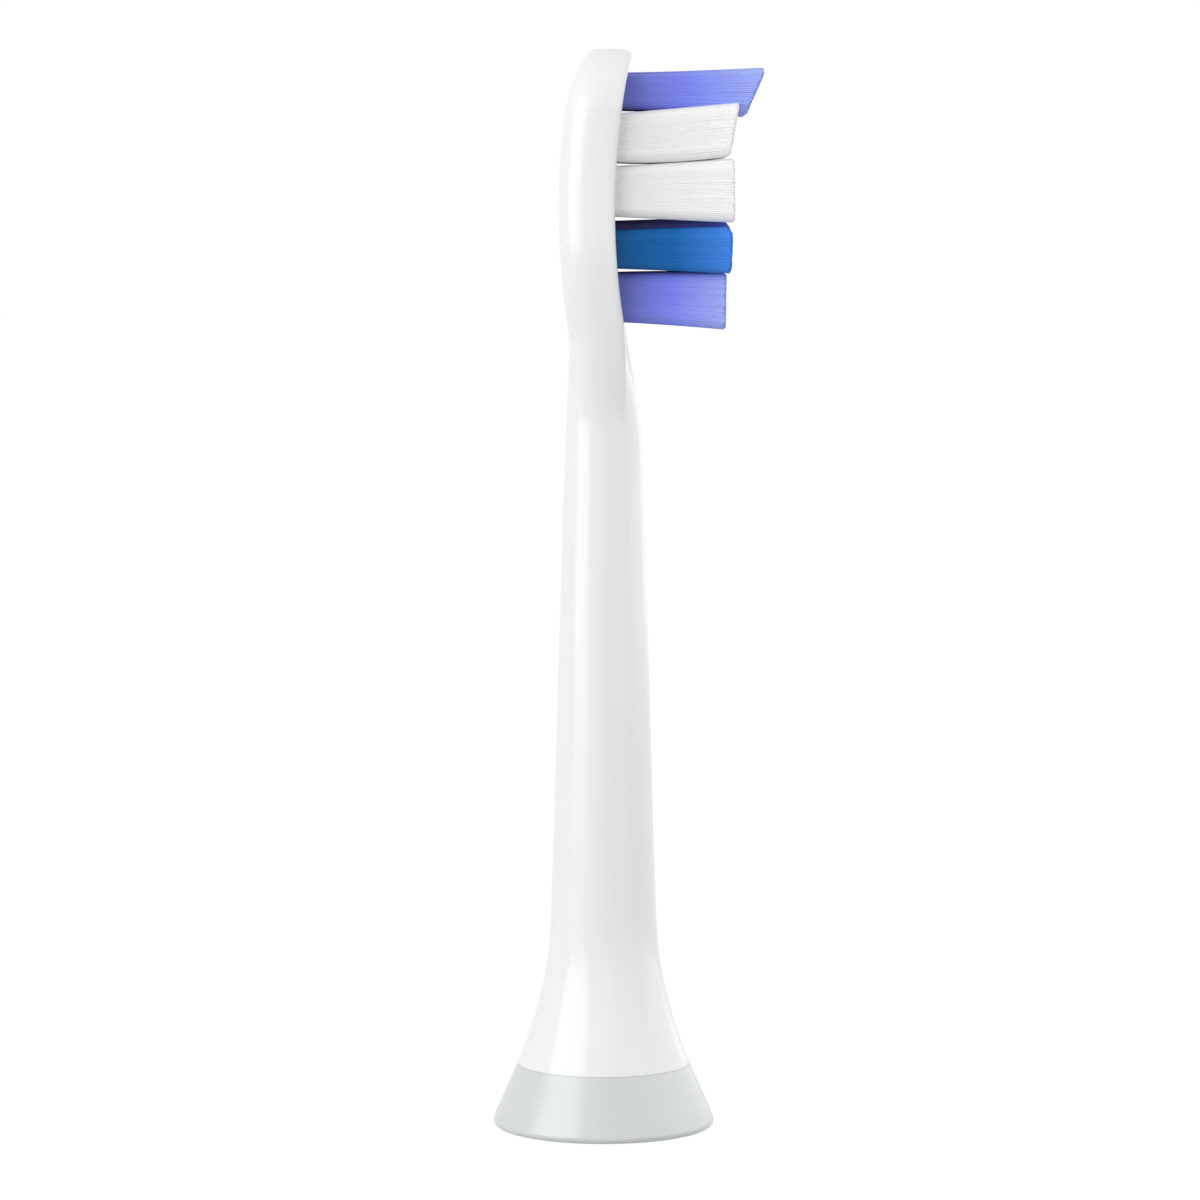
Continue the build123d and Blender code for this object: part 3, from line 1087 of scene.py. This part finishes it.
ROWS: dict[Row, RowShape] = {
    Row.TIP: RowShape(
        PURPLE, height=2.95, reach=11.76, slant=30.0, top_lift=0.4, bottom_lift=-0.5, curl=1.5
    ),
    Row.UPPER: RowShape(
        WHITE,
        height=3.75,
        reach=10.12,
        slant=11.0,
        top_lift=0.86,
        bottom_lift=0.36,
        curl=1.75,
        round_bottom=0.55,
        swell=0.16,
    ),
    Row.MID: RowShape(
        WHITE,
        height=3.9,
        reach=10.12,
        slant=-1.0,
        top_lift=0.62,
        bottom_lift=-0.48,
        curl=1.7,
        round_top=0.12,
        round_bottom=0.25,
        swell=0.1,
    ),
    Row.LOWER: RowShape(
        BLUE,
        height=3.7,
        reach=9.93,
        slant=2.5,
        top_lift=0.25,
        bottom_lift=-0.4,
        curl=1.8,
        round_top=0.75,
        swell=0.08,
    ),
    Row.HEEL: RowShape(
        PURPLE,
        height=3.86,
        reach=9.48,
        slant=1.0,
        top_lift=0.04,
        bottom_lift=-0.6,
        curl=1.8,
        round_top=0.35,
        round_bottom=0.05,
        swell=0.08,
    ),
}


@dataclass(frozen=True)
class Bundle:
    """One bundle of filaments: its row, its column and its size at the root."""

    row: Row
    column: str
    y: float
    height: float
    nylon: Nylon

    @property
    def node(self) -> str:
        """Return the name of the CAD node that the bundle stands for."""
        return f"tuft_{self.row.value}_{self.column}"


@dataclass
class BristleField:
    """All the bundles on the head plate, in millimetres."""

    body: BrushBody
    tip_margin: float = 1.85
    row_gap: float = 0.32
    tip_side_height: float = 2.75
    blue_height: float = 3.0
    width: float = 2.05
    column_gap: float = 0.35
    corner_radius: float = 0.75
    corner_turn: float = 5.0
    pitch: float = 0.12
    filament_radius: float = 0.11
    filament_tip_share: float = 0.45
    root_depth: float = 0.8
    shade_start: float = 1.2
    side_growth: float = 0.15
    jitter: float = 0.009
    trim_jitter: float = 0.07
    end_round: float = 0.1
    sides: int = 5
    lengths: int = 5
    smooth_angle: float = 80.0
    seed: int = 7

    def bundles(self) -> list[Bundle]:
        """Return the bundles of every row.

        Returns:
            The bundles, in the order that they are made.
        """
        pitch = self.width + self.column_gap
        three = ("left", "centre", "right")
        four = ("left_outer", "left_inner", "right_inner", "right_outer")
        columns = {Row.TIP: three, Row.UPPER: four, Row.MID: four, Row.LOWER: four, Row.HEEL: three}
        found = []
        for row, names in columns.items():
            shape = ROWS[row]
            for place, name in enumerate(names):
                height, nylon = shape.height, shape.nylon
                if row is Row.TIP and name != "centre":
                    height = self.tip_side_height
                # The inner bundles of the lower row take the purple darkened by painted shade.
                if row is Row.LOWER and name.endswith("inner"):
                    nylon = PURPLE_PAINTED_SHADE
                elif row is Row.LOWER:
                    height = self.blue_height
                found.append(Bundle(row, name, (place - (len(names) - 1) / 2) * pitch, height, nylon))
        return found

    def bottom(self, row: Row) -> float:
        """Return the height of a row's lower edge, stacked down from the tip.

        Args:
            row: The row.

        Returns:
            The height.
        """
        order = list(ROWS)
        stack = order[: order.index(row) + 1]
        depth = sum(ROWS[above].height for above in stack) + self.row_gap * (len(stack) - 1)
        return self.body.total_length - self.tip_margin - depth

    def roots(self, bundle: Bundle, draw: random.Random) -> list[tuple[float, float, float]]:
        """Return where the filaments stand in the hole: in rings, from its rounded edge inwards.

        Args:
            bundle: The bundle.
            draw: Source of the small irregularities.

        Returns:
            Offsets along Y and Z from the hole's centre, and how far in from its edge.
        """
        half = np.array((self.width, bundle.height)) / 2 - self.filament_radius
        turns = np.radians(np.arange(self.corner_turn / 2, 360.0, self.corner_turn))
        directions = np.column_stack((np.cos(turns), np.sin(turns)))
        found = []
        ring_pitch = self.pitch * math.sqrt(3.0) / 2
        rings = round(half[0] / ring_pitch)
        for inset in np.linspace(0.0, half[0], rings + 1):
            corner = max(self.corner_radius - self.filament_radius - inset, 0.0)
            edge = np.sign(directions) * (half - inset - corner) + directions * corner
            edge = np.vstack((edge, edge[:1]))
            passed = np.cumsum(np.linalg.norm(np.diff(edge, axis=0), axis=1))
            passed = np.concatenate(((0.0,), passed))
            count = round(passed[-1] / self.pitch)
            places = (np.arange(count) + draw.random()) * passed[-1] / count
            for place in places % passed[-1]:
                y, z = (np.interp(place, passed, edge[:, axis]) for axis in (0, 1))
                found.append((y, z, inset))
        return found

    def one_filament(self) -> Pattern:
        """Model one filament with a rounded tip, of unit length and unit radius.

        Returns:
            Its points and its faces.
        """
        strand = new_outline("filament_pattern", self.sides)
        set_mode(Mode.EDIT)
        bpy.ops.mesh.select_all(action="SELECT")
        extrude_rows(self.lengths + 1)
        bpy.ops.transform.resize(value=(self.filament_tip_share, self.filament_tip_share, 1.0))
        bpy.ops.mesh.edge_face_add()
        set_mode(Mode.OBJECT)
        mesh = strand.data
        points = np.array([corner.co for corner in mesh.vertices])
        points[:, 2] = np.minimum(points[:, 2] / self.lengths, 1.0)
        faces = [tuple(face.vertices) for face in mesh.polygons]
        bpy.data.objects.remove(strand)
        bpy.data.meshes.remove(mesh)
        return points, faces

    def trim(self, shape: RowShape, bundle: Bundle, share: float, inset: float) -> float:
        """Return how far a filament reaches, by its place in the bundle.

        Args:
            shape: The row's trim.
            bundle: The bundle.
            share: 0 at the lower edge, 1 at the upper edge.
            inset: How far the filament stands in from the bundle's edge.

        Returns:
            X of the trimmed end, in millimetres.
        """
        reach = shape.reach + (share - 0.5) * bundle.height * math.tan(math.radians(shape.slant))
        round_top = shape.round_top
        if bundle.nylon is PURPLE_PAINTED_SHADE:
            round_top += bundle.height - self.blue_height
        edges = (
            (round_top, (1.0 - share) * bundle.height),
            (shape.round_bottom, share * bundle.height),
            (self.end_round, inset),
        )
        for radius, gap in edges:
            if gap < radius:
                reach -= sagitta(radius, radius - gap)
        return reach

    def strands(self, bundle: Bundle, pattern: Pattern) -> tuple[list[np.ndarray], list[float]]:
        """Bend a copy of the filament from every place in a bundle to its trimmed end.

        Args:
            bundle: The bundle.
            pattern: Points and faces of one filament.

        Returns:
            The points of each filament, in millimetres, and a number from 0 to 1 that tells it apart.
        """
        draw = random.Random(f"{self.seed} {bundle.node}")
        shape = ROWS[bundle.row]
        middle = self.bottom(bundle.row) + bundle.height / 2
        side, rise = pattern[0][:, 0] * self.filament_radius, pattern[0][:, 1] * self.filament_radius
        along = pattern[0][:, 2]
        bend = along**shape.curl
        found, marks = [], []
        for y, z, inset in self.roots(bundle, draw):
            share = z / bundle.height + 0.5
            root_x = self.body.front(middle + z) - self.root_depth
            tip_x = self.trim(shape, bundle, share, inset)
            tip_x += draw.uniform(-self.trim_jitter, self.trim_jitter)
            lift = mix(shape.bottom_lift, shape.top_lift, share) + draw.gauss(0.0, self.jitter)
            swell = shape.swell * (2.0 * share - 1.0) * bulge(along)
            spread = 2.0 * y / self.width * self.side_growth + draw.gauss(0.0, self.jitter)
            found.append(
                np.column_stack(
                    (
                        mix(root_x, tip_x, along),
                        bundle.y + y + spread * bend + side,
                        middle + z + lift * bend + swell + rise,
                    )
                )
            )
            marks.append(draw.random())
        return found, marks

    def build(self, bundle: Bundle, pattern: Pattern) -> bpy.types.Object:
        """Join the filaments of a bundle in one piece.

        Args:
            bundle: The bundle.
            pattern: Points and faces of one filament.

        Returns:
            The bundle as one object.
        """
        found, marks = self.strands(bundle, pattern)
        points, faces = pattern
        starts = range(0, len(found) * len(points), len(points))
        corners = [tuple(start + corner for corner in face) for start in starts for face in faces]
        mesh = bpy.data.meshes.new(f"bristles_{bundle.row.value}_{bundle.column}")
        mesh.from_pydata(np.vstack(found) * MM, [], corners)
        strand = mesh.attributes.new(STRAND, "FLOAT", "POINT")
        strand.data.foreach_set("value", np.repeat(marks, len(points)).astype(np.float32))
        piece = bpy.data.objects.new(mesh.name, mesh)
        bpy.context.scene.collection.objects.link(piece)
        bpy.ops.object.select_all(action="DESELECT")
        bpy.context.view_layer.objects.active = piece
        piece.select_set(True)
        set_mode(Mode.EDIT)
        bpy.ops.mesh.select_all(action="SELECT")
        bpy.ops.mesh.normals_make_consistent(inside=False)
        set_mode(Mode.OBJECT)
        bpy.ops.object.shade_smooth_by_angle(angle=math.radians(self.smooth_angle))
        return piece

    def dress(
        self, piece: bpy.types.Object, bundle: Bundle, finishes: dict[str, bpy.types.Material]
    ) -> None:
        """Give a bundle its colour and let it stand for its CAD node.

        Args:
            piece: The bundle's object.
            bundle: The bundle.
            finishes: Materials already made, by colour and row.
        """
        key = f"{bundle.nylon.name}_{bundle.row.value}"
        if key not in finishes:
            reach = ROWS[bundle.row].reach
            finishes[key] = bundle.nylon.material(key, self.shade_start * MM, reach * MM)
        piece.data.materials.append(finishes[key])
        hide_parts(bundle.node)
        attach(piece, BODY)


@dataclass(frozen=True)
class Softbox:
    """One large soft lamp, by its place about the head, its size in millimetres and its power."""

    name: str
    azimuth: float
    elevation: float
    distance: float
    size: Point2
    power: float


@dataclass
class Studio:
    """Floor, lamps and camera, in millimetres."""

    middle_height: float = 41.97
    camera_x: float = -0.29
    camera_height: float = 72.0
    camera_distance: float = 370.0
    view_width: float = 94.7
    sensor_width: float = 36.0
    clip_range: Point2 = (5.0, 20000.0)
    ambient: float = 0.66
    floor_size: float = 6000.0
    floor_grey: float = 0.5
    floor_roughness: float = 0.9
    floor_glow: float = 1.08
    floor_glow_share: float = 0.9
    lamps: tuple[Softbox, ...] = (
        Softbox("left_box", -54.0, 6.0, 420.0, (400.0, 520.0), 1.55),
        Softbox("front_fill", 10.0, 2.0, 600.0, (600.0, 500.0), 0.32),
        Softbox("right_front", 58.0, 6.0, 480.0, (320.0, 520.0), 0.4),
        Softbox("right_fill", 100.0, 10.0, 500.0, (400.0, 500.0), 0.7),
        Softbox("back_right", 140.0, 12.0, 500.0, (300.0, 400.0), 0.3),
    )

    def white_for_camera(self, tree: bpy.types.NodeTree) -> bpy.types.NodeSocket:
        """Return a socket that is 1 where the camera, a mirror or clear plastic looks, and 0 for light.

        Args:
            tree: The node tree to add to.

        Returns:
            The mask's output socket.
        """
        path = add_node(tree, "LightPath")
        mask = path.outputs["Is Camera Ray"]
        for label in ("Is Glossy Ray", "Is Transmission Ray"):
            larger = add_node(tree, "Math")
            larger.operation = "MAXIMUM"
            connect(tree, (mask, larger.inputs[0]), (path.outputs[label], larger.inputs[1]))
            mask = larger.outputs["Value"]
        return mask

    def build_world(self) -> None:
        """Make the world white to look at and plain as a light."""
        world = bpy.data.worlds.new("studio_air")
        bpy.context.scene.world = world
        world.use_nodes = True
        tree = world.node_tree
        background = tree.nodes["Background"]
        background.inputs["Color"].default_value = (1.0, 1.0, 1.0, 1.0)
        level = add_node(tree, "MapRange", {"To Min": self.ambient, "To Max": 1.0})
        connect(
            tree,
            (self.white_for_camera(tree), level.inputs["Value"]),
            (level.outputs["Result"], background.inputs["Strength"]),
        )

    def build_floor(self) -> None:
        """Lay a pale floor that shows white and keeps the shadow at the foot."""
        bpy.ops.object.select_all(action="DESELECT")
        bpy.ops.mesh.primitive_plane_add(size=self.floor_size * MM, location=(0.0, 0.0, 0.0))
        floor = bpy.context.active_object
        floor.name = "studio_floor"
        material, shader = new_material("floor_white")
        shader.inputs["Base Color"].default_value = (self.floor_grey, self.floor_grey, self.floor_grey, 1.0)
        shader.inputs["Roughness"].default_value = self.floor_roughness
        shader.inputs["Specular IOR Level"].default_value = 0.0
        tree = material.node_tree
        glow = add_node(tree, "Emission", {"Strength": self.floor_glow})
        blend = add_node(tree, "MixShader")
        share = add_node(tree, "Math")
        share.operation = "MULTIPLY"
        share.inputs[1].default_value = self.floor_glow_share
        connect(
            tree,
            (self.white_for_camera(tree), share.inputs[0]),
            (share.outputs["Value"], blend.inputs["Fac"]),
            (shader.outputs["BSDF"], blend.inputs[1]),
            (glow.outputs["Emission"], blend.inputs[2]),
            (blend.outputs["Shader"], tree.nodes["Material Output"].inputs["Surface"]),
        )
        floor.data.materials.append(material)

    def build_lamps(self) -> None:
        """Hang the soft lamps, each turned to the middle of the head."""
        for lamp in self.lamps:
            light = bpy.data.lights.new(lamp.name, "AREA")
            light.shape = "RECTANGLE"
            light.size, light.size_y = lamp.size[0] * MM, lamp.size[1] * MM
            light.energy = lamp.power
            holder = bpy.data.objects.new(lamp.name, light)
            bpy.context.scene.collection.objects.link(holder)
            turn, lift = math.radians(lamp.azimuth), math.radians(lamp.elevation)
            reach = lamp.distance * MM
            holder.location = (
                reach * math.sin(turn) * math.cos(lift),
                -reach * math.cos(turn) * math.cos(lift),
                self.middle_height * MM + reach * math.sin(lift),
            )
            holder.rotation_euler = (math.pi / 2 - lift, 0.0, turn)

    def build_camera(self) -> None:
        """Set the camera level with the bristles, looking a little down at the middle of the side."""
        drop = self.camera_height - self.middle_height
        camera = bpy.data.cameras.new("side_camera")
        camera.sensor_width = self.sensor_width
        camera.lens = self.sensor_width * math.hypot(self.camera_distance, drop) / self.view_width
        camera.clip_start, camera.clip_end = (limit * MM for limit in self.clip_range)
        holder = bpy.data.objects.new("side_camera", camera)
        bpy.context.scene.collection.objects.link(holder)
        holder.location = (self.camera_x * MM, -self.camera_distance * MM, self.camera_height * MM)
        holder.rotation_euler = (math.pi / 2 - math.atan2(drop, self.camera_distance), 0.0, 0.0)
        bpy.context.scene.camera = holder
        bpy.context.scene.view_settings.view_transform = "Standard"

    def build(self) -> None:
        """Set up the whole studio."""
        self.build_world()
        self.build_floor()
        self.build_lamps()
        self.build_camera()


def main() -> None:
    """Build and dress every piece, set up the studio and log each piece's number of faces."""
    logging.basicConfig(level=logging.INFO, format="%(message)s")
    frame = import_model()
    Studio().build()

    body = BrushBody()
    shell = body.build()
    body.dress(shell)
    report(shell)

    foot = BaseRing(body)
    ring = foot.build()
    foot.dress(ring)
    report(ring)

    InnerPieces().dress(frame["nodes"])

    bristles = BristleField(body)
    pattern = bristles.one_filament()
    finishes: dict[str, bpy.types.Material] = {}
    for bundle in bristles.bundles():
        piece = bristles.build(bundle, pattern)
        bristles.dress(piece, bundle, finishes)
        report(piece)


if __name__ == "__main__":
    main()
